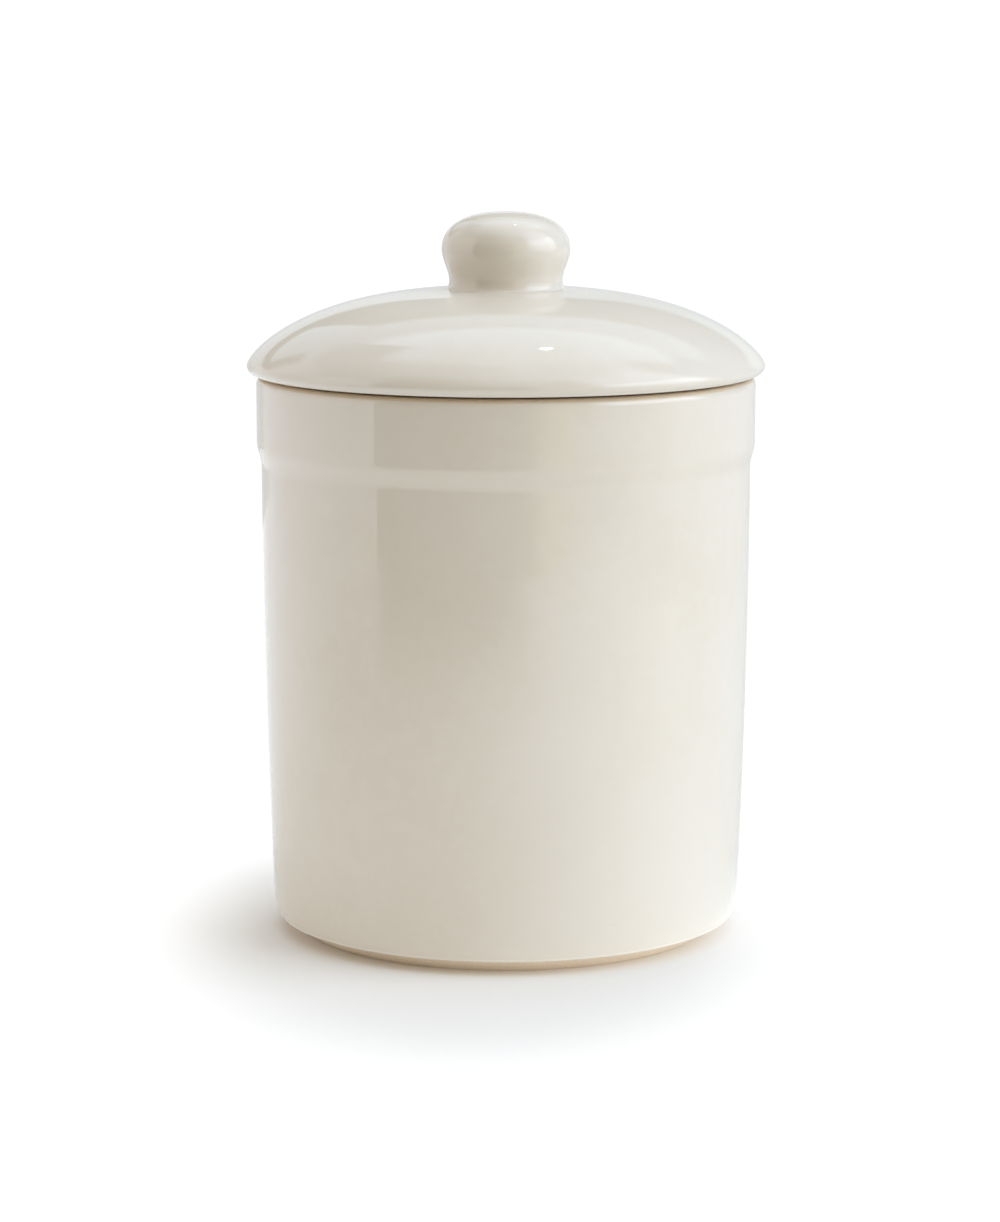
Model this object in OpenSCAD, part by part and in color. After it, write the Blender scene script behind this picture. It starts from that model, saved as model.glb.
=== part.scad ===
// Lidded stoneware jar for keeping a sourdough starter.
// A thick-walled round jar with a raised collar at its mouth, a domed lid that
// drops into the mouth with a locating flange, and a mushroom knob that is
// luted onto the top of the lid.
// Origin: centre of the foot ring on the table. +Z is up, along the jar's axis.
// All sizes are in millimetres.

/* [Jar body] */
// Height of the rim above the table
jar_h = 127.5; // [110:0.1:150]
// Outside diameter of the upright collar at the mouth
collar_d = 113.7; // [112.6:0.1:115]
// Height of the collar, from its lower swell to the rim
collar_h = 20.3; // [15:0.1:30]
// Height over which the wall swells out into the collar
swell_h = 5.5; // [3:0.1:8]
// Outside diameter of the wall just under the collar
wall_d = 111.6; // [110:0.1:112.4]
// How far the wall draws in towards the foot, on the radius
wall_taper = 2.4; // [0:0.1:4]
// Thickness of the wall
wall_t = 5.7; // [4.5:0.1:7]
// Thickness of the floor above the table, foot recess included
floor_z = 7.6; // [6:0.1:10]
// Radius of the curve between the floor and the wall inside
floor_fillet = 10; // [6:0.5:16]
// Inside diameter of the mouth
mouth_d = 100.6; // [99.6:0.1:101.6]
// Rounding of the rim's outer edge
rim_round = 1.8; // [1:0.1:2]

/* [Foot] */
// Outside diameter of the ring that stands on the table
foot_d = 94.2; // [90:0.1:98]
// Width of the ring that stands on the table
foot_w = 4.2; // [3:0.1:6]
// Depth of the recess inside the foot ring
foot_recess = 2.2; // [1:0.1:3]
// Height of the bare bevel between the foot and the lower edge of the glaze
bevel_h = 3.3; // [2:0.1:4]
// Diameter of the bare clay at the lower edge of the glaze
bevel_d = 104.2; // [102:0.1:105]
// How far the rolled lower edge of the glaze stands out from the clay
glaze_roll = 0.35; // [0.1:0.05:0.5]
// Height of the rounding at the bottom of the wall
heel_h = 4.8; // [3:0.1:7]
// How far that rounding draws in, on the radius
heel_in = 1.05; // [0.6:0.05:1.4]

/* [Lid] */
// Outside diameter of the lid
lid_d = 117.9; // [116.5:0.1:122]
// Height of the lid's widest line above the rim
lid_wide_z = 2.5; // [2:0.1:3.5]
// Rise of the dome above the widest line
dome_h = 17.4; // [14:0.1:24]
// Squareness of the dome towards its edge
dome_edge = 2.7; // [2:0.05:2.8]
// Flatness of the dome towards its top
dome_top = 1.4; // [1.3:0.02:1.7]
// Thickness of the lid under the knob
lid_t = 5.3; // [4:0.1:6]
// Rounding of the lid's lip below its widest line, on the radius
lip_round = 2.6; // [1.6:0.1:3]
// Height of the shadow gap between the lid's lip and the rim
lip_gap = 0.45; // [0.2:0.05:1]
// Outside diameter of the locating flange under the lid
flange_d = 98.2; // [97:0.1:98.6]
// Length of the flange below the rim
flange_h = 9; // [6:0.5:14]
// Thickness of the flange
flange_t = 4.5; // [3.5:0.1:5.5]

/* [Knob] */
// Diameter of the knob at its widest
knob_d = 29.2; // [28:0.1:34]
// Diameter of the knob's neck
neck_d = 25.8; // [22:0.1:27]
// Diameter of the knob where it meets the lid
knob_base_d = 27; // [23:0.1:27.4]
// Height of the knob above the lid
knob_h = 17.35; // [14:0.05:22]
// Height of the knob's widest line above the lid
knob_wide_z = 8.8; // [6.5:0.1:10]
// Height of the concave flare at the knob's foot
knob_flare_h = 1.9; // [0.8:0.1:3]

/* [Lift] */
// How far the lid is drawn lifted off the rim
lift = 0; // [0:1:120]

/* [Hidden] */

$fn = 160;
wall_steps = 18;    // straight steps up the side wall
curve_steps = 9;    // steps round a small curve
dome_steps = 26;    // steps over the dome

ivory = [0.925, 0.902, 0.843];

wall_r = wall_d / 2;
collar_r = collar_d / 2;
mouth_r = mouth_d / 2;
foot_r = foot_d / 2;
bevel_r = bevel_d / 2;
swell_z = jar_h - collar_h;         // where the wall starts to swell
glaze_z = bevel_h + 0.15;           // underside of the glaze's rolled edge
heel_z = glaze_z + heel_h;          // top of the rounding at the foot
lid_r = lid_d / 2;
wide_z = jar_h + lid_wide_z;        // height of the lid's widest line
flange_r = flange_d / 2;
flange_in = flange_r - flange_t;
pad_r = knob_base_d / 2 + 0.3;      // flat pad that the knob is luted to

// An eased step from 0 to 1
function ease(t) = let (u = max(0, min(1, t))) u * u * (3 - 2 * u);

// Radius of the outside wall at height z: a gentle taper, drawn in at the heel,
// swelling out into the collar
function outside(z) =
    wall_r
    - wall_taper * pow(max(0, 1 - z / swell_z), 1.9)
    - heel_in * pow(max(0, (heel_z - z) / heel_h), 2.6)
    + (collar_r - wall_r) * ease((z - swell_z) / swell_h);

// A quarter of a superellipse as [radius, height] points, from the widest
// point at angle 0 to the crown at angle 90
function crown(r, h, n, m, a0, a1, steps) =
    [for (i = [0:steps]) let (a = a0 + (a1 - a0) * i / steps)
        [r * pow(max(0, cos(a)), 2 / n), h * pow(max(0, sin(a)), 2 / m)]];

// A quarter of an ellipse round the centre [cr, cz]
function quarter(cr, cz, ar, az, a0, a1, steps) =
    [for (i = [0:steps]) let (a = a0 + (a1 - a0) * i / steps)
        [cr + ar * cos(a), cz + az * sin(a)]];

// Points moved up by z
function lifted(points, z) = [for (p = points) [p[0], p[1] + z]];

// Points in the other order
function reversed(points) = [for (i = [len(points) - 1:-1:0]) points[i]];

// Angle on the dome's crown curve at which its radius is r
pad_angle = acos(pow(pad_r / lid_r, dome_edge / 2));
// Height of the flat pad under the knob
pad_z = wide_z + dome_h * pow(sin(pad_angle), 2 / dome_top);

// Outline of the underside: foot ring, bare bevel and rolled glaze edge
foot_outline = [
    [0, foot_recess + 0.2],
    [foot_r - foot_w - 2.4, foot_recess],
    [foot_r - foot_w - 0.9, foot_recess - 0.5],
    [foot_r - foot_w, 0],
    [foot_r, 0],
    [bevel_r, bevel_h],
    [bevel_r + glaze_roll * 0.7, bevel_h + 0.02],
];

// Outline of the outside wall, from the glaze edge up to the collar
wall_outline = concat(
    [for (i = [0:curve_steps]) let (z = glaze_z + heel_h * pow(i / curve_steps, 1.6)) [outside(z), z]],
    [for (i = [1:wall_steps]) let (z = heel_z + (swell_z - heel_z) * i / wall_steps) [outside(z), z]],
    [for (i = [1:curve_steps]) let (z = swell_z + swell_h * i / curve_steps) [outside(z), z]]
);

// Outline of the rim: rounded outer edge, flat land that carries the lid, eased inner edge
rim_outline = concat(
    quarter(collar_r - rim_round, jar_h - 1.9, rim_round, 1.9, 0, 90, curve_steps),
    quarter(mouth_r + 1.1, jar_h - 1.2, -1.1, 1.2, 90, 0, 6)
);

// Outline of the inside, from the mouth down to the middle of the floor
mouth_z = jar_h - 13;               // lower end of the straight mouth
inside_outline = concat(
    [[mouth_r, mouth_z]],
    [for (i = [1:wall_steps]) let (z = mouth_z - (mouth_z - floor_z - floor_fillet) * i / wall_steps)
        [min(mouth_r, wall_r - wall_taper * pow(max(0, 1 - z / swell_z), 1.9) - wall_t), z]],
    let (rf = wall_r - wall_taper * pow(1 - (floor_z + floor_fillet) / swell_z, 1.9) - wall_t)
        [for (i = [1:12]) let (a = 90 * i / 12)
            [rf - floor_fillet + floor_fillet * cos(a), floor_z + floor_fillet - floor_fillet * sin(a)]],
    [[0, floor_z]]
);

// The jar: one thrown piece, with its foot, wall, collar and rim
module jar_body() {
    color(ivory)
        rotate_extrude()
            polygon(concat(foot_outline, wall_outline, rim_outline, inside_outline));
}

// Outline of the lid's outside, from the pad under the knob to the lip's lower edge
lid_outside = concat(
    [[0, pad_z]],
    lifted(reversed(crown(lid_r, dome_h, dome_edge, dome_top, 0, pad_angle, dome_steps)), wide_z),
    [for (i = [1:curve_steps]) let (a = 80 * i / curve_steps)
        [lid_r - lip_round + lip_round * cos(a), wide_z - (lid_wide_z - lip_gap) * sin(a)]]
);

// Outline of the seat that rests on the rim, and of the locating flange
lid_flange = concat(
    [[lid_r - lip_round - 0.7, jar_h + lip_gap - 0.05], [collar_r - 2.2, jar_h], [flange_r + 1.3, jar_h]],
    quarter(flange_r + 1.3, jar_h - 1.3, -1.3, 1.3, 72, 0, 4),
    [[flange_r - 0.4, jar_h - flange_h + 1.2]],
    quarter(flange_r - 1.4, jar_h - flange_h + 1, 1, 1, -20, -90, 4),
    quarter(flange_in + 1.2, jar_h - flange_h + 1, 1, 1, -90, -160, 4),
    [[flange_in, jar_h - flange_h + 2]]
);

// Outline of the hollow under the dome
hollow_z = jar_h + 3.8;             // where the flange's bore turns into the dome
hollow_h = pad_z - lid_t - hollow_z;
lid_hollow = lifted(crown(flange_in, hollow_h, 3.2, 2.2, 0, 90, dome_steps), hollow_z);

// The lid: one pressed dome with its seat and locating flange
module lid() {
    color(ivory)
        rotate_extrude()
            polygon(concat(lid_outside, lid_flange, lid_hollow));
}

// Outline of the knob: luted foot, neck, swell and rounded crown
knob_r = knob_d / 2;
neck_r = neck_d / 2;
base_r = knob_base_d / 2;
knob_outline = concat(
    [[0, 0], [base_r - 0.35, 0]],
    quarter(base_r - 0.35, 0.35, 0.35, 0.35, -60, 0, 3),
    [for (i = [1:5]) let (a = 90 * i / 5) [neck_r + (base_r - neck_r) * (1 - sin(a)), 0.35 + (knob_flare_h - 0.35) * (1 - cos(a))]],
    [for (i = [1:10]) let (t = i / 10) [neck_r + (knob_r - neck_r) * ease(t), knob_flare_h + (knob_wide_z - knob_flare_h) * t]],
    [for (p = lifted(crown(knob_r, knob_h - knob_wide_z, 2.4, 2.3, 0, 90, 20), knob_wide_z)) if (p[1] > knob_wide_z) p]
);

// The knob: a solid turned knob, luted to the top of the lid
module lid_knob() {
    color(ivory)
        translate([0, 0, pad_z])
            rotate_extrude()
                polygon(knob_outline);
}

jar_body();
translate([0, 0, lift]) lid();
translate([0, 0, lift]) lid_knob();
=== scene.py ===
import math

import bpy
import numpy as np
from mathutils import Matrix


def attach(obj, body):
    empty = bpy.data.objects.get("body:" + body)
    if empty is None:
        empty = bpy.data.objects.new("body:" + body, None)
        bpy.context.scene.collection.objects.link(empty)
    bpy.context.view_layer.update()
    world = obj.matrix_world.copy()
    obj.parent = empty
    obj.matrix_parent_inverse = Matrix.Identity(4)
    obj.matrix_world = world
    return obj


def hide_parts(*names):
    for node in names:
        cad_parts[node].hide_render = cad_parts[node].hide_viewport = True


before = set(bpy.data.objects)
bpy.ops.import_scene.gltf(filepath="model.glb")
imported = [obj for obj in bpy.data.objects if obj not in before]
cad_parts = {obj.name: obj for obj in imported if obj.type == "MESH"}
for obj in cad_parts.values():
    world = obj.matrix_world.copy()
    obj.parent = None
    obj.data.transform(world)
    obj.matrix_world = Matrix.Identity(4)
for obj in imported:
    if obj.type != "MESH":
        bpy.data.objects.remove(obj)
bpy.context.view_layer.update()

MM = 0.001

# Jar
JAR_H, COLLAR_R, WALL_R, TAPER, WALL_T = 127.5, 113.7 / 2, 111.6 / 2, 2.4, 5.7
COLLAR_H, SWELL_H = 20.3, 5.5
SWELL_Z = JAR_H - COLLAR_H
FLOOR_Z, FILLET, MOUTH_R, RIM = 7.6, 10.0, 100.6 / 2, 1.8
FOOT_R, FOOT_W, RECESS = 94.2 / 2, 4.2, 2.2
BEVEL_H, BEVEL_R, ROLL = 3.3, 104.2 / 2, 0.35
GLAZE_Z = BEVEL_H + 0.15
HEEL_H, HEEL_IN = 4.8, 1.05
HEEL_Z = GLAZE_Z + HEEL_H
# Lid
LID_R, WIDE, DOME_H, DOME_EDGE, DOME_TOP, LID_T = 117.9 / 2, 2.5, 17.4, 2.7, 1.4, 5.3
LIP, GAP, FLANGE_R, FLANGE_H, FLANGE_T = 2.6, 0.45, 98.2 / 2, 9.0, 4.5
WIDE_Z = JAR_H + WIDE
FLANGE_IN = FLANGE_R - FLANGE_T
# Knob
KNOB_R, NECK_R, BASE_R, KNOB_H, KNOB_WIDE, FLARE = 29.2 / 2, 25.8 / 2, 27.0 / 2, 17.35, 8.8, 1.9
PAD_R = BASE_R + 0.3
PAD_ANGLE = math.acos((PAD_R / LID_R) ** (DOME_EDGE / 2))
PAD_Z = WIDE_Z + DOME_H * math.sin(PAD_ANGLE) ** (2 / DOME_TOP)
HOLLOW_Z = JAR_H + 3.8
HOLLOW_H = PAD_Z - LID_T - HOLLOW_Z


def ease(t):
    u = max(0.0, min(1.0, t))
    return u * u * (3 - 2 * u)


def taper(z):
    return TAPER * max(0.0, 1 - z / SWELL_Z) ** 1.9


def outside(z):
    """Radius of the jar's outside wall at height z."""
    return (WALL_R - taper(z) - HEEL_IN * max(0.0, (HEEL_Z - z) / HEEL_H) ** 2.6
            + (COLLAR_R - WALL_R) * ease((z - SWELL_Z) / SWELL_H))


def crown(r, h, n, m, a0, a1, steps, z=0.0):
    """Part of a quarter superellipse, from the widest point up to the crown."""
    out = []
    for i in range(steps + 1):
        a = a0 + (a1 - a0) * i / steps
        out.append((r * max(0.0, math.cos(a)) ** (2 / n), z + h * max(0.0, math.sin(a)) ** (2 / m)))
    return out


def arc(cr, cz, ar, az, a0, a1, steps):
    """Part of an ellipse round (cr, cz), angles in degrees."""
    return [(cr + ar * math.cos(math.radians(a0 + (a1 - a0) * i / steps)),
             cz + az * math.sin(math.radians(a0 + (a1 - a0) * i / steps))) for i in range(steps + 1)]


def spaced(points, step):
    """The same line with its points evenly spaced, about step apart."""
    p = np.array(points, float)
    d = np.r_[0, np.cumsum(np.hypot(*np.diff(p, axis=0).T))]
    n = max(2, int(round(d[-1] / step)) + 1)
    s = np.linspace(0, d[-1], n)
    return list(zip(np.interp(s, d, p[:, 0]), np.interp(s, d, p[:, 1])))


def join(*runs):
    """Runs of points end to end, without doubled points."""
    out = []
    for run in runs:
        for r, z in run:
            if not out or math.hypot(r - out[-1][0], z - out[-1][1]) > 1e-4:
                out.append((float(r), float(z)))
    return out


# --- outlines ---------------------------------------------------------------
def jar_outline():
    under = spaced([(0, RECESS + 0.2), (FOOT_R - FOOT_W - 2.4, RECESS)], 2.2)
    ring_in = arc(FOOT_R - FOOT_W - 2.4, RECESS - 2.0, 2.4, 2.0, 90, 8, 6)
    ring = [(FOOT_R - FOOT_W + 0.02, 0.16), (FOOT_R - FOOT_W + 0.2, 0.03), (FOOT_R - FOOT_W + 0.5, 0.0)]
    stand = spaced([(FOOT_R - FOOT_W + 0.5, 0), (FOOT_R - 0.55, 0)], 0.8)
    edge = [(FOOT_R - 0.25, 0.03), (FOOT_R + 0.02, 0.16)]
    bevel = spaced([(FOOT_R + 0.12, 0.24), (BEVEL_R - 0.28, BEVEL_H - 0.18)], 0.35)
    tuck = [(BEVEL_R - 0.12, BEVEL_H - 0.10), (BEVEL_R + 0.02, BEVEL_H - 0.08)]
    roll_r = outside(GLAZE_Z + 0.35)
    roll = arc(roll_r - 0.42, GLAZE_Z + 0.3, 0.42, 0.5, -80, 0, 9)
    wall_lo = spaced([(outside(GLAZE_Z + 0.35 + 0.1 * i), GLAZE_Z + 0.35 + 0.1 * i) for i in range(48)], 0.45)
    wall = spaced([(outside(8.5 + 0.25 * i), 8.5 + 0.25 * i) for i in range(int((SWELL_Z - 1.0 - 8.5) / 0.25) + 1)], 1.05)
    swell = spaced([(outside(SWELL_Z - 1.0 + 0.05 * i), SWELL_Z - 1.0 + 0.05 * i) for i in range(151)], 0.42)
    collar = spaced([(COLLAR_R, SWELL_Z + SWELL_H + 1.0), (COLLAR_R, JAR_H - 1.9)], 0.8)
    rim = arc(COLLAR_R - RIM, JAR_H - 1.9, RIM, 1.9, 0, 90, 16)
    land = spaced([(COLLAR_R - RIM, JAR_H), (MOUTH_R + 1.1, JAR_H)], 0.5)
    lip = arc(MOUTH_R + 1.1, JAR_H - 1.2, -1.1, 1.2, 90, 0, 9)
    mouth = spaced([(MOUTH_R, JAR_H - 1.6), (MOUTH_R, JAR_H - 13)], 1.2)
    rf = WALL_R - taper(FLOOR_Z + FILLET) - WALL_T
    inner = [(min(MOUTH_R, WALL_R - taper(z) - WALL_T), z)
             for z in np.linspace(JAR_H - 13, FLOOR_Z + FILLET, 200)]
    inner = spaced(inner, 2.4)
    fillet = arc(rf - FILLET, FLOOR_Z + FILLET, FILLET, -FILLET, 0, 90, 16)
    floor = spaced([(rf - FILLET, FLOOR_Z), (0, FLOOR_Z)], 2.2)
    return join(under, ring_in, ring, stand, edge, bevel, tuck, roll, wall_lo, wall, swell, collar, rim, land, lip,
                mouth, inner, fillet, floor)


def lid_outline():
    top = spaced([(0, PAD_Z), (PAD_R, PAD_Z)], 1.2)
    dome = spaced(list(reversed(crown(LID_R, DOME_H, DOME_EDGE, DOME_TOP, 0, PAD_ANGLE, 900, WIDE_Z))), 0.62)
    lip = arc(LID_R - LIP, WIDE_Z, LIP, -(WIDE - GAP), 0, 80, 14)
    seat = spaced([(LID_R - LIP - 0.7, JAR_H + GAP - 0.03), (FLANGE_R + 3.9, JAR_H + GAP)], 0.4)
    rest = spaced([(FLANGE_R + 3.5, JAR_H), (FLANGE_R + 1.3, JAR_H)], 0.6)
    nook = arc(FLANGE_R + 1.3, JAR_H - 1.3, -1.3, 1.3, 72, 0, 6)
    side = spaced([(FLANGE_R, JAR_H - 1.5), (FLANGE_R - 0.4, JAR_H - FLANGE_H + 1.2)], 0.8)
    end = (arc(FLANGE_R - 1.4, JAR_H - FLANGE_H + 1, 1, 1, -10, -90, 8)
           + arc(FLANGE_IN + 1.2, JAR_H - FLANGE_H + 1, 1, 1, -90, -170, 8))
    bore = spaced([(FLANGE_IN, JAR_H - FLANGE_H + 2), (FLANGE_IN, HOLLOW_Z)], 0.9)
    hollow = spaced(crown(FLANGE_IN, HOLLOW_H, 3.2, 2.2, 0, math.pi / 2, 900, HOLLOW_Z), 1.0)
    return join(top, dome, lip, seat, rest, nook, side, end, bore, hollow)[::-1]


def knob_outline():
    foot = spaced([(0, 0), (BASE_R + 0.22, 0)], 1.2)
    flare = [(NECK_R + (BASE_R + 0.24 - NECK_R) * (1 - math.sin(math.radians(a))), 0.02 + (FLARE - 0.02) * (1 - math.cos(math.radians(a))))
             for a in range(4, 91, 5)]
    swell = spaced([(NECK_R + (KNOB_R - NECK_R) * ease(i / 200), FLARE + (KNOB_WIDE - FLARE) * i / 200)
                    for i in range(201)], 0.3)
    top = spaced([p for p in crown(KNOB_R, KNOB_H - KNOB_WIDE, 2.4, 2.3, 0, math.pi / 2, 900, KNOB_WIDE)
                  if p[1] > KNOB_WIDE + 0.02], 0.36)
    top[-1] = (0.0, KNOB_H)
    return [(r, z + PAD_Z) for r, z in join(foot, flare, swell, top)]


# --- turned meshes ------------------------------------------------------------
def waves(theta, z, seed, size):
    """A smooth uneven field over the turned surface, from -1 to 1: a few slow waves that close round the axis."""
    rng = np.random.RandomState(seed)
    out = np.zeros(np.broadcast(theta, z).shape)
    total = 0.0
    for _ in range(14):
        k = rng.randint(1, 12)
        q = rng.uniform(0.2, 1.3) / size
        a = 1.0 / (1.0 + 0.35 * k)
        out = out + a * np.cos(k * theta + rng.uniform(0, 6.283)) * np.cos(q * z + rng.uniform(0, 6.283))
        total += a
    return out / total * 1.6


def turned(name, outline, segments, relief):
    """A closed mesh of revolution. relief(r, z, nr, nz, theta) gives how far the surface moves along its normal, in mm."""
    pts = np.array(outline)
    closed_ring = pts[0, 0] > 1e-6
    nxt, prv = np.roll(pts, -1, 0), np.roll(pts, 1, 0)
    if not closed_ring:
        prv[0], nxt[-1] = pts[0] * [-1, 1] + [-1e-3, 0], pts[-1] * [-1, 1] + [-1e-3, 0]
    tan = nxt - prv
    tan /= np.maximum(1e-9, np.hypot(tan[:, 0], tan[:, 1]))[:, None]
    nr, nz = tan[:, 1], -tan[:, 0]
    theta = np.linspace(0, 2 * math.pi, segments, endpoint=False)
    verts, rings = [], []
    for i, (r, z) in enumerate(pts):
        if r < 1e-6:
            rings.append([len(verts)])
            verts.append((0, 0, z * MM))
            continue
        d = relief(r, z, nr[i], nz[i], theta)
        rr, zz = r + nr[i] * d, z + nz[i] * d
        start = len(verts)
        rings.append(list(range(start, start + segments)))
        verts.extend(zip(rr * np.cos(theta) * MM, rr * np.sin(theta) * MM, np.broadcast_to(zz, theta.shape) * MM))
    faces = []
    pairs = list(zip(rings, rings[1:])) + ([(rings[-1], rings[0])] if closed_ring else [])
    for a, b in pairs:
        for j in range(segments):
            k = (j + 1) % segments
            if len(a) == 1:
                faces.append((a[0], b[k], b[j]))
            elif len(b) == 1:
                faces.append((a[j], a[k], b[0]))
            else:
                faces.append((a[j], a[k], b[k], b[j]))
    mesh = bpy.data.meshes.new(name)
    mesh.from_pydata([tuple(float(c) for c in v) for v in verts], [], faces)
    mesh.validate()
    for p in mesh.polygons:
        p.use_smooth = True
    obj = bpy.data.objects.new(name, mesh)
    bpy.context.scene.collection.objects.link(obj)
    return obj


def jar_relief(r, z, nr, nz, theta):
    """The slight unevenness of a cast wall under its glaze, inwards only; none at the foot or where the lid sits."""
    outer = r > 54 - 2 * max(0.0, 1 - z / 30) and z < JAR_H - 1.5 and z > GLAZE_Z
    inner = r < MOUTH_R + 1 and z < JAR_H - 14 and z > FLOOR_Z - 0.1
    if not (outer or inner):
        return np.zeros_like(theta)
    level = ease((z - GLAZE_Z) / 4) * ease((JAR_H - 1.5 - z) / 3) if outer else 0.6 * ease((JAR_H - 14 - z) / 8)
    level *= min(1.0, (r / 12) ** 2)
    return -0.035 * level * (0.5 + 0.5 * waves(theta, z if outer else z + 0.6 * r, 11 if outer else 12, 6.0))


def lid_relief(r, z, nr, nz, theta):
    top = nz > 0 and z > WIDE_Z - 0.01 and r > PAD_R
    under = z < PAD_Z - LID_T + 0.1 and z > HOLLOW_Z and r < FLANGE_IN
    if not (top or under):
        return np.zeros_like(theta)
    level = ease((r - PAD_R) / 6) * ease((z - WIDE_Z) / 3) if top else ease((z - HOLLOW_Z) / 4) * min(1.0, (r / 12) ** 2)
    return -0.035 * level * (0.5 + 0.5 * waves(theta, 0.9 * r, 21 if top else 22, 6.0))


def knob_relief(r, z, nr, nz, theta):
    h = z - PAD_Z
    if h < 0.4:
        return np.zeros_like(theta)
    return -0.03 * ease((h - 0.4) / 3) * min(1.0, (r / 6) ** 2) * (0.5 + 0.5 * waves(theta, z, 31, 2.4))


jar = turned("jar_glazed_body", jar_outline(), 312, jar_relief)
lid = turned("lid_dome", lid_outline(), 384, lid_relief)
knob = turned("lid_knob_turned", knob_outline(), 192, knob_relief)

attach(jar, "jar")
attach(lid, "lid_with_knob")
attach(knob, "lid_with_knob")
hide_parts("jar_body")
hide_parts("lid")
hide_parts("lid_knob")


# --- materials ------------------------------------------------------------------
def linear(c):
    return tuple((v / 12.92 if v <= 0.04045 else ((v + 0.055) / 1.055) ** 2.4) for v in c)


def rgb(r, g, b):
    return (*linear((r / 255, g / 255, b / 255)), 1.0)


class Tree:
    """Small helpers for building a node tree."""

    def __init__(self, tree):
        self.t = tree
        self.t.nodes.clear()
        self.n = 0

    def add(self, kind, **props):
        node = self.t.nodes.new(kind)
        self.n += 1
        node.location = (180 * (self.n % 9), -200 * (self.n // 9))
        for k, v in props.items():
            setattr(node, k, v)
        return node

    def put(self, socket, value):
        if isinstance(value, bpy.types.NodeSocket):
            self.t.links.new(value, socket)
        elif value is not None:
            socket.default_value = value

    def math(self, op, a, b=None, c=None, clamp=False):
        node = self.add("ShaderNodeMath", operation=op, use_clamp=clamp)
        for s, v in zip(node.inputs, (a, b, c)):
            self.put(s, v)
        return node.outputs[0]

    def step(self, value, lo, hi, a=0.0, b=1.0, smooth=True):
        node = self.add("ShaderNodeMapRange", interpolation_type="SMOOTHSTEP" if smooth else "LINEAR", clamp=True)
        for s, v in zip(node.inputs, (value, lo, hi, a, b)):
            self.put(s, v)
        return node.outputs[0]

    def mix(self, t, a, b, mode="MIX"):
        node = self.add("ShaderNodeMix", data_type="RGBA", blend_type=mode, clamp_factor=True)
        self.put(node.inputs[0], t)
        self.put(node.inputs[6], a)
        self.put(node.inputs[7], b)
        return node.outputs[2]

    def blend(self, t, a, b):
        """Between two numbers."""
        node = self.add("ShaderNodeMix", data_type="FLOAT", clamp_factor=True)
        self.put(node.inputs[0], t)
        self.put(node.inputs[2], a)
        self.put(node.inputs[3], b)
        return node.outputs[0]

    def vector(self, x, y, z):
        node = self.add("ShaderNodeCombineXYZ")
        for s, v in zip(node.inputs, (x, y, z)):
            self.put(s, v)
        return node.outputs[0]

    def noise(self, vector, scale, detail=2.0, rough=0.5):
        node = self.add("ShaderNodeTexNoise", noise_dimensions="3D")
        self.put(node.inputs["Vector"], vector)
        node.inputs["Scale"].default_value = scale
        node.inputs["Detail"].default_value = detail
        node.inputs["Roughness"].default_value = rough
        return node.outputs["Fac"]


def simple(name, colour, rough):
    m = bpy.data.materials.new(name)
    m.use_nodes = True
    b = m.node_tree.nodes["Principled BSDF"]
    b.inputs["Base Color"].default_value = colour
    b.inputs["Roughness"].default_value = rough
    return m


IVORY = rgb(226, 218, 203)
IVORY_WARM = rgb(222, 213, 194)
IVORY_PALE = rgb(231, 225, 213)
# Near-white colour painted on glaze edges as a highlight
PAINTED_HIGHLIGHT = rgb(240, 236, 226)
THIN = rgb(214, 193, 162)
CLAY = rgb(215, 197, 171)
CLAY_DARK = rgb(189, 167, 138)
CLAY_PALE = rgb(227, 212, 190)


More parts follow.
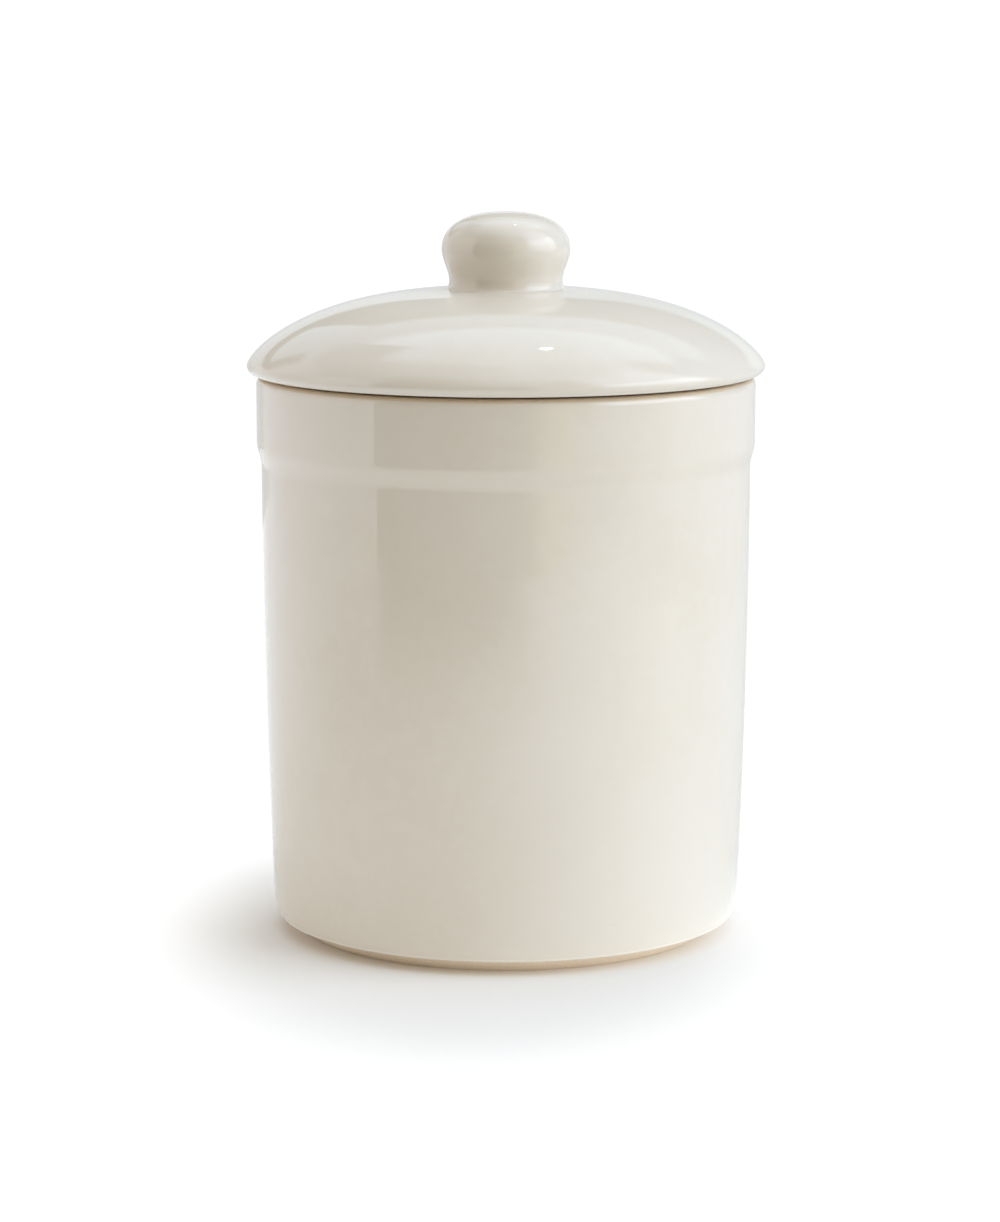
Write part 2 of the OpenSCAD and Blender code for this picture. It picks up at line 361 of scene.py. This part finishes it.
def stoneware(name, bare_zone, thin_zone, painted_highlight_zone):
    """Glossy ivory glaze over tan stoneware. The zones take (tree, z in mm, r in mm, unevenness from -1 to 1) and give
    where the clay is bare, where the glaze runs thin and where a paler band is painted on as a highlight."""
    m = bpy.data.materials.new(name)
    m.use_nodes = True
    t = Tree(m.node_tree)
    place = t.add("ShaderNodeTexCoord").outputs["Object"]
    part = t.add("ShaderNodeSeparateXYZ")
    t.put(part.inputs[0], place)
    x, y, z = part.outputs
    z_mm = t.math("MULTIPLY", z, 1000.0)
    r_mm = t.math("MULTIPLY", t.math("SQRT", t.math("ADD", t.math("MULTIPLY", x, x), t.math("MULTIPLY", y, y))), 1000.0)
    uneven = t.math("MULTIPLY_ADD", t.noise(place, 70.0, 3.0, 0.55), 2.0, -1.0)
    bare = bare_zone(t, z_mm, r_mm, uneven)
    thin = thin_zone(t, z_mm, r_mm, uneven)

    # Glaze: slow clouds of tone, fine mottling, and a few faint specks of iron under it
    clouds = t.step(t.noise(place, 16.0, 3.0, 0.5), 0.3, 0.7)
    mottle = t.step(t.noise(place, 260.0, 4.0, 0.6), 0.35, 0.7)
    tone = t.mix(clouds, IVORY_WARM, IVORY_PALE)
    tone = t.mix(0.55, tone, IVORY)
    tone = t.mix(t.math("MULTIPLY", mottle, 0.22), tone, IVORY_PALE)
    speck = t.add("ShaderNodeTexVoronoi", feature="F1", voronoi_dimensions="3D")
    t.put(speck.inputs["Vector"], place)
    speck.inputs["Scale"].default_value = 210.0
    near = t.step(speck.outputs["Distance"], 0.03, 0.075, 1.0, 0.0)
    picked = t.add("ShaderNodeSeparateColor")
    t.put(picked.inputs[0], speck.outputs["Color"])
    few = t.step(picked.outputs[0], 0.90, 0.97)
    tone = t.mix(t.math("MULTIPLY", t.math("MULTIPLY", near, few), 0.20), tone, THIN)
    # Painted highlight: a paler band on the foot's glaze edge, the lid's lip and the knob's flare
    tone = t.mix(painted_highlight_zone(t, z_mm, r_mm, uneven), tone, PAINTED_HIGHLIGHT)
    glaze_colour = t.mix(t.math("MULTIPLY", thin, 0.85), tone, THIN)

    # Clay: grain, grog and the lines left by turning
    grain = t.noise(place, 1500.0, 5.0, 0.65)
    lines = t.noise(t.vector(t.math("MULTIPLY", r_mm, 2.4), 0.0, t.math("MULTIPLY", z_mm, 2.4)), 1.0, 2.0, 0.6)
    clay_colour = t.mix(t.step(grain, 0.35, 0.72), CLAY, CLAY_PALE)
    clay_colour = t.mix(t.math("MULTIPLY", t.step(lines, 0.45, 0.8), 0.25), clay_colour, CLAY_DARK)
    grog = t.step(t.noise(place, 900.0, 1.0, 0.5), 0.72, 0.80)
    clay_colour = t.mix(t.math("MULTIPLY", grog, 0.4), clay_colour, CLAY_DARK)

    rough_glaze = t.step(t.noise(place, 45.0, 3.0, 0.6), 0.2, 0.8, 0.012, 0.032, smooth=False)
    rough_clay = t.step(grain, 0.2, 0.8, 0.74, 0.92, smooth=False)

    ripple = t.math("MULTIPLY", t.noise(place, 120.0, 2.0, 0.5), 3e-6)
    pits = t.math("MULTIPLY", t.noise(place, 900.0, 2.0, 0.5), 6e-7)
    glaze_height = t.math("ADD", ripple, pits)
    clay_height = t.math("ADD", t.math("MULTIPLY", grain, 1.6e-5), t.math("MULTIPLY", lines, 2.5e-5))
    height = t.blend(bare, glaze_height, clay_height)

    bump = t.add("ShaderNodeBump")
    bump.inputs["Strength"].default_value = 1.0
    bump.inputs["Distance"].default_value = 1.0
    t.put(bump.inputs["Height"], height)
    shader = t.add("ShaderNodeBsdfPrincipled")
    t.put(shader.inputs["Base Color"], t.mix(bare, glaze_colour, clay_colour))
    t.put(shader.inputs["Roughness"], t.blend(bare, rough_glaze, rough_clay))
    shader.inputs["IOR"].default_value = 1.6
    t.put(shader.inputs["Normal"], bump.outputs[0])
    end = t.add("ShaderNodeOutputMaterial")
    t.t.links.new(shader.outputs[0], end.inputs[0])
    return m


def jar_bare(t, z, r, uneven):
    wavy = t.math("MULTIPLY_ADD", uneven, 0.12, z)
    rim = t.step(wavy, JAR_H - 0.62, JAR_H - 0.34)
    foot = t.step(z, BEVEL_H - 0.06, BEVEL_H, 1.0, 0.0)
    return t.math("MAXIMUM", rim, foot)


def jar_thin(t, z, r, uneven):
    wavy = t.math("MULTIPLY_ADD", uneven, 0.14, z)
    return t.step(wavy, JAR_H - 1.0, JAR_H - 0.5)


# Painted highlight: a paler band just above the glaze edge at the foot, in place of the light on the rolled edge
def jar_painted_highlight(t, z, r, uneven):
    wavy = t.math("MULTIPLY_ADD", uneven, 0.1, z)
    return t.step(wavy, GLAZE_Z + 0.15, GLAZE_Z + 0.5, 0.4, 0.0)


def lid_bare(t, z, r, uneven):
    wavy = t.math("MULTIPLY_ADD", uneven, 0.25, r)
    low = t.step(z, JAR_H + GAP - 0.01, JAR_H + GAP + 0.04, 1.0, 0.0)
    inner = t.step(wavy, FLANGE_R - 2.4, FLANGE_R - 2.0)
    outer = t.step(wavy, LID_R - LIP - 0.4, LID_R - LIP, 1.0, 0.0)
    return t.math("MULTIPLY", low, t.math("MULTIPLY", inner, outer))


def lid_thin(t, z, r, uneven):
    wavy = t.math("MULTIPLY_ADD", uneven, 0.2, r)
    low = t.step(z, JAR_H + GAP + 0.02, JAR_H + GAP + 0.2, 1.0, 0.0)
    return t.math("MULTIPLY", low, t.step(wavy, LID_R - LIP - 0.1, LID_R - LIP + 0.5, 0.6, 0.0))


# Painted highlight: a paler band on the lower edge of the lid's lip
def lid_painted_highlight(t, z, r, uneven):
    low = t.step(z, JAR_H + GAP + 0.25, JAR_H + GAP + 0.75, 1.0, 0.0)
    return t.math("MULTIPLY", low, t.step(r, LID_R - LIP + 0.3, LID_R - LIP + 0.7))


def knob_bare(t, z, r, uneven):
    return t.step(z, PAD_Z + 0.005, PAD_Z + 0.015, 1.0, 0.0)


def knob_thin(t, z, r, uneven):
    return t.math("MULTIPLY", t.step(z, PAD_Z + 0.02, PAD_Z + 0.3, 1.0, 0.0), 0.1)


# Painted highlight: a paler band on the lower part of the knob's flare, just above the lid
def knob_painted_highlight(t, z, r, uneven):
    return t.math("MULTIPLY", t.step(z, PAD_Z + 0.2, PAD_Z + 1.0, 1.0, 0.0), 0.4)


jar.data.materials.append(stoneware("glaze_jar", jar_bare, jar_thin, jar_painted_highlight))
lid.data.materials.append(stoneware("glaze_lid", lid_bare, lid_thin, lid_painted_highlight))
knob.data.materials.append(stoneware("glaze_knob", knob_bare, knob_thin, knob_painted_highlight))

# --- floor ------------------------------------------------------------------------
def sheet(name, x0, x1, y0, y1, z, material):
    mesh = bpy.data.meshes.new(name)
    mesh.from_pydata([(x0, y0, z), (x1, y0, z), (x1, y1, z), (x0, y1, z)], [], [(0, 1, 2, 3)])
    mesh.materials.append(material)
    obj = bpy.data.objects.new(name, mesh)
    bpy.context.scene.collection.objects.link(obj)
    return obj


def white_paper():
    """Matt warm white paper. Seen from the camera it is blown out to plain white a little way from the jar."""
    m = bpy.data.materials.new("white_paper")
    m.use_nodes = True
    t = Tree(m.node_tree)
    place = t.add("ShaderNodeTexCoord").outputs["Object"]
    part = t.add("ShaderNodeSeparateXYZ")
    t.put(part.inputs[0], place)
    dx = t.math("DIVIDE", t.math("ADD", part.outputs[0], 0.0075), 0.0600)
    dy = t.math("DIVIDE", t.math("ADD", part.outputs[1], 0.012), 0.100)
    far = t.math("SQRT", t.math("ADD", t.math("MULTIPLY", dx, dx), t.math("MULTIPLY", dy, dy)))
    blown = t.step(far, 0.75, 1.35)
    sight = t.add("ShaderNodeLightPath").outputs["Is Camera Ray"]
    fibre = t.step(t.noise(place, 900.0, 2.0, 0.5), 0.3, 0.7)
    matt = t.add("ShaderNodeBsdfDiffuse")
    t.put(matt.inputs["Color"], t.mix(fibre, (0.915, 0.895, 0.855, 1), (0.925, 0.905, 0.865, 1)))
    white = t.add("ShaderNodeEmission")
    white.inputs["Color"].default_value = (1, 1, 1, 1)
    white.inputs["Strength"].default_value = 1.05
    seen = t.add("ShaderNodeMixShader")
    t.put(seen.inputs[0], blown)
    t.t.links.new(matt.outputs[0], seen.inputs[1])
    t.t.links.new(white.outputs[0], seen.inputs[2])
    # As light for the jar, and for all rays but the camera's, the paper carries painted light: it glows a little round
    # the jar, to its left and by its foot, though it is no lamp; it is a painted darker copy of itself behind the jar's
    # right; and it runs into painted shade, near black, at its far front left
    x, y = part.outputs[0], part.outputs[1]
    r = t.math("SQRT", t.math("ADD", t.math("MULTIPLY", x, x), t.math("MULTIPLY", y, y)))
    left, front = t.step(x, -0.06, 0.06, 1.0, 0.0), t.step(y, -0.06, 0.06, 1.0, 0.0)
    right, behind = t.math("SUBTRACT", 1.0, left), t.math("SUBTRACT", 1.0, front)
    ring, off = t.math("MULTIPLY", t.step(r, 0.09, 0.13), t.step(r, 0.20, 0.30, 1.0, 0.0)), t.step(r, 0.20, 0.30)
    both = lambda a, b: t.math("MULTIPLY", a, b)
    # Painted shade: a darker copy of the paper behind the jar's right
    painted_dim = both(t.step(r, 0.06, 0.10), both(right, behind))
    sector = both(t.step(x, -0.02, 0.16, 1.0, 0.0), t.step(t.math("MULTIPLY_ADD", x, -0.53, y), -0.10, 0.0, 1.0, 0.0))
    # Painted shade: the paper fades to near black at its far front left
    shade = both(t.step(r, 0.28, 0.52), sector)
    bounce = t.add("ShaderNodeBsdfDiffuse")
    t.put(bounce.inputs["Color"], t.mix(shade, t.mix(painted_dim, PAPER, PAPER_PAINTED_SHADE), (0.02, 0.02, 0.02, 1)))
    # Painted light: the paper glows round the jar, to its left and by its foot, though it is no lamp
    glow = t.add("ShaderNodeEmission")
    glow.inputs["Color"].default_value = GLOW
    wide = t.math("ADD", both(left, t.math("MULTIPLY", ring, GLOW_RING)), both(off, t.math("MULTIPLY_ADD", both(left, behind), 0.10, both(both(right, front), 0.12))))
    foot = t.math("MULTIPLY", t.step(r, 0.055, 0.075, GLOW_FOOT, 0.0), t.math("MULTIPLY_ADD", right, 1.5, 0.1))
    t.put(glow.inputs["Strength"], t.math("ADD", t.math("ADD", wide, GLOW_NEAR), foot))
    lit = t.add("ShaderNodeAddShader")
    t.t.links.new(bounce.outputs[0], lit.inputs[0])
    t.t.links.new(glow.outputs[0], lit.inputs[1])
    paper = t.add("ShaderNodeMixShader")
    t.put(paper.inputs[0], sight)
    t.t.links.new(lit.outputs[0], paper.inputs[1])
    t.t.links.new(seen.outputs[0], paper.inputs[2])
    end = t.add("ShaderNodeOutputMaterial")
    t.t.links.new(paper.outputs[0], end.inputs[0])
    return m


# The second paper colour is a darker, painted-shade copy; the GLOW values set how strongly the paper glows as painted
# light
PAPER, PAPER_PAINTED_SHADE = (0.90, 0.895, 0.88, 1), (0.72, 0.70, 0.67, 1)
GLOW, GLOW_NEAR, GLOW_RING, GLOW_FOOT = (1, 1, 1, 1), 0.03, 0.08, 0.16
table = sheet("table", -0.52, 0.52, -0.57, 0.66, 0, white_paper())

# --- studio ------------------------------------------------------------------------
# The soft light comes from all round: large soft panels on a dim room, laid over each other in this order.
# Each is a patch of directions seen from the jar: azimuth from the camera's side (0) to the right (90) and the
# back (180), elevation above the table, the softness of its four edges, and its light.
PANELS = [
    # name, azimuth from, to, elevation from, to, softness of those edges, light
    ("room", None, None, None, None, 0, 0, 0, 0, (0.56, 0.52, 0.43)),
    ("ceiling_back", None, None, 60, None, 0, 0, 12, 0, (1.48, 1.58, 1.68)),
    ("ceiling_left", -120, 5, 60, None, 30, 30, 12, 0, (0.96, 1.0, 1.04)),
    ("ceiling_right", 5, 120, 60, None, 30, 30, 12, 0, (1.17, 1.28, 1.43)),
    ("left_back", -149, -103, None, 40, 3, 14, 0, 10, (1.12, 1.08, 1.12)),
    ("left_front", -103, -62, None, 40, 14, 1.2, 0, 10, (1.5, 1.43, 1.36)),
    ("left_high", -149, -62, 40, 62, 8, 14, 10, 10, (0.66, 0.65, 0.74)),
    ("left_low", -149, -62, None, 0, 3, 1.2, 0, 6, (1.0, 1.03, 1.1)),
    ("dark_left", -62, -22, None, 30, 1.2, 14, 0, 14, (0.01, 0.01, 0.01)),
    ("dark_front", -22, 14, None, 30, 14, 14, 0, 14, (0.3, 0.08, 0.02)),
    ("dark_low", -62, 20, None, 0, 1.2, 14, 0, 6, (0.01, 0.01, 0.01)),
    ("front_right", 14, 44, None, 50, 14, 14, 0, 14, (0.96, 0.87, 0.55)),
    ("right_low", 44, 104, None, 14, 14, 14, 0, 8, (2.08, 2.28, 2.62)),
    ("right_mid", 44, 104, 14, 38, 14, 14, 8, 10, (3.15, 3.45, 3.95)),
    ("right_high", 44, 104, 38, 62, 14, 14, 10, 10, (1.7, 1.92, 2.26)),
    ("right_back", 104, 147, None, 50, 14, 1.5, 0, 14, (0.32, 0.4, 0.57)),
    ("right_below", 30, 147, None, 0, 14, 1.5, 0, 6, (0.78, 0.80, 0.88)),
    ("top_left", -70, -14, 36, 64, 14, 20, 14, 14, (0.16, 0.12, 0.06)),
    ("top_right", -14, 44, 36, 64, 20, 14, 14, 14, (0.56, 0.58, 0.50)),
    ("gap_left", -172, -136, 14, 35, 8, 8, 1, 4, (0.45, 0.41, 0.35)),
    ("gap_middle", 162, -172, 14, 35, 14, 8, 1, 4, (0.50, 0.48, 0.44)),
    ("gap_right", 136, 162, 14, 35, 8, 14, 1, 4, (0.45, 0.43, 0.45)),
    ("back_mid", 136, -136, 35, 47, 12, 12, 4, 5, (0.87, 0.94, 1.02)),
    ("back_box", 126, -126, 47, 68, 12, 12, 5, 8, (1.44, 1.64, 1.84)),
    ("rear_left_card", -165, -146, 20, 40, 1, 4, 1, 3, (0.84, 0.92, 0.98)),
    ("rear_left_gap", -152, -124, 41, 58, 3, 8, 2, 4, (0.66, 0.65, 0.66)),
    ("lamp", 162, 166, 64.7, 66.7, 1.5, 1.5, 1.2, 1.2, (26.0, 26.0, 26.0)),
    ("sweep_left", 175, -149, None, 15.2, 14, 1.5, 0, 0.8, (0.87, 0.91, 0.93)),
    ("sweep_right", 147, 175, None, 15.2, 1.5, 14, 0, 0.8, (0.79, 0.83, 0.84)),
    ("sweep_low", 147, -149, None, 5, 1.5, 1.5, 0, 6, (0.74, 0.76, 0.78)),
]

world = bpy.data.worlds.new("studio")
bpy.context.scene.world = world
world.use_nodes = True
w = Tree(world.node_tree)
coord = w.add("ShaderNodeTexCoord")
xyz = w.add("ShaderNodeSeparateXYZ")
w.t.links.new(coord.outputs["Generated"], xyz.inputs[0])
back = w.math("MULTIPLY", xyz.outputs[1], -1.0)
azimuth = w.math("ARCTAN2", xyz.outputs[0], back)
around = w.math("ABSOLUTE", azimuth)
elevation = w.math("ARCSINE", xyz.outputs[2])


def edge(value, at, soft, rising):
    """0 to 1 across an edge at an angle in degrees, half its softness to each side."""
    lo, hi = math.radians(at - soft / 2), math.radians(at + soft / 2)
    return w.step(value, lo, hi, 0.0 if rising else 1.0, 1.0 if rising else 0.0)


light = None
for name, a0, a1, e0, e1, sa0, sa1, se0, se1, colour in PANELS:
    masks = []
    if a0 is not None:
        left, right = edge(azimuth, a0, sa0, True), edge(azimuth, a1, sa1, False)
        masks.append(w.math("MAXIMUM" if a0 > a1 else "MULTIPLY", left, right))
    if e0 is not None:
        masks.append(edge(elevation, e0, se0, True))
    if e1 is not None:
        masks.append(edge(elevation, e1, se1, False))
    if light is None:
        node = w.add("ShaderNodeRGB", label=name)
        node.outputs[0].default_value = (*colour, 1)
        light = node.outputs[0]
        continue
    mask = masks[0]
    for m in masks[1:]:
        mask = w.math("MULTIPLY", mask, m)
    node = w.add("ShaderNodeRGB", label=name)
    node.outputs[0].default_value = (*colour, 1)
    light = w.mix(mask, light, node.outputs[0])

bg = w.add("ShaderNodeBackground")
w.t.links.new(light, bg.inputs[0])
white = w.add("ShaderNodeBackground")
white.inputs[0].default_value = (1, 1, 1, 1)
white.inputs[1].default_value = 1.05
path = w.add("ShaderNodeLightPath")
both = w.add("ShaderNodeMixShader")
w.t.links.new(path.outputs["Is Camera Ray"], both.inputs[0])
w.t.links.new(bg.outputs[0], both.inputs[1])
w.t.links.new(white.outputs[0], both.inputs[2])
out = w.add("ShaderNodeOutputWorld")
w.t.links.new(both.outputs[0], out.inputs[0])

scene = bpy.context.scene
scene.view_settings.view_transform = "Standard"
scene.view_settings.look = "None"
scene.view_settings.exposure = 0.0
scene.view_settings.gamma = 1.0

# --- camera --------------------------------------------------------------------------
cam_data = bpy.data.cameras.new("camera")
cam = bpy.data.objects.new("camera", cam_data)
scene.collection.objects.link(cam)
cam_data.sensor_width = 36.0
cam_data.sensor_fit = "AUTO"
cam_data.lens = 36.0 * 3729.5 / 1222.0
cam_data.clip_start, cam_data.clip_end = 0.05, 30.0
cam.location = (-0.00134, -0.848, 0.2088)
cam.rotation_euler = (math.radians(90 - 9.104), 0, 0)
scene.camera = cam
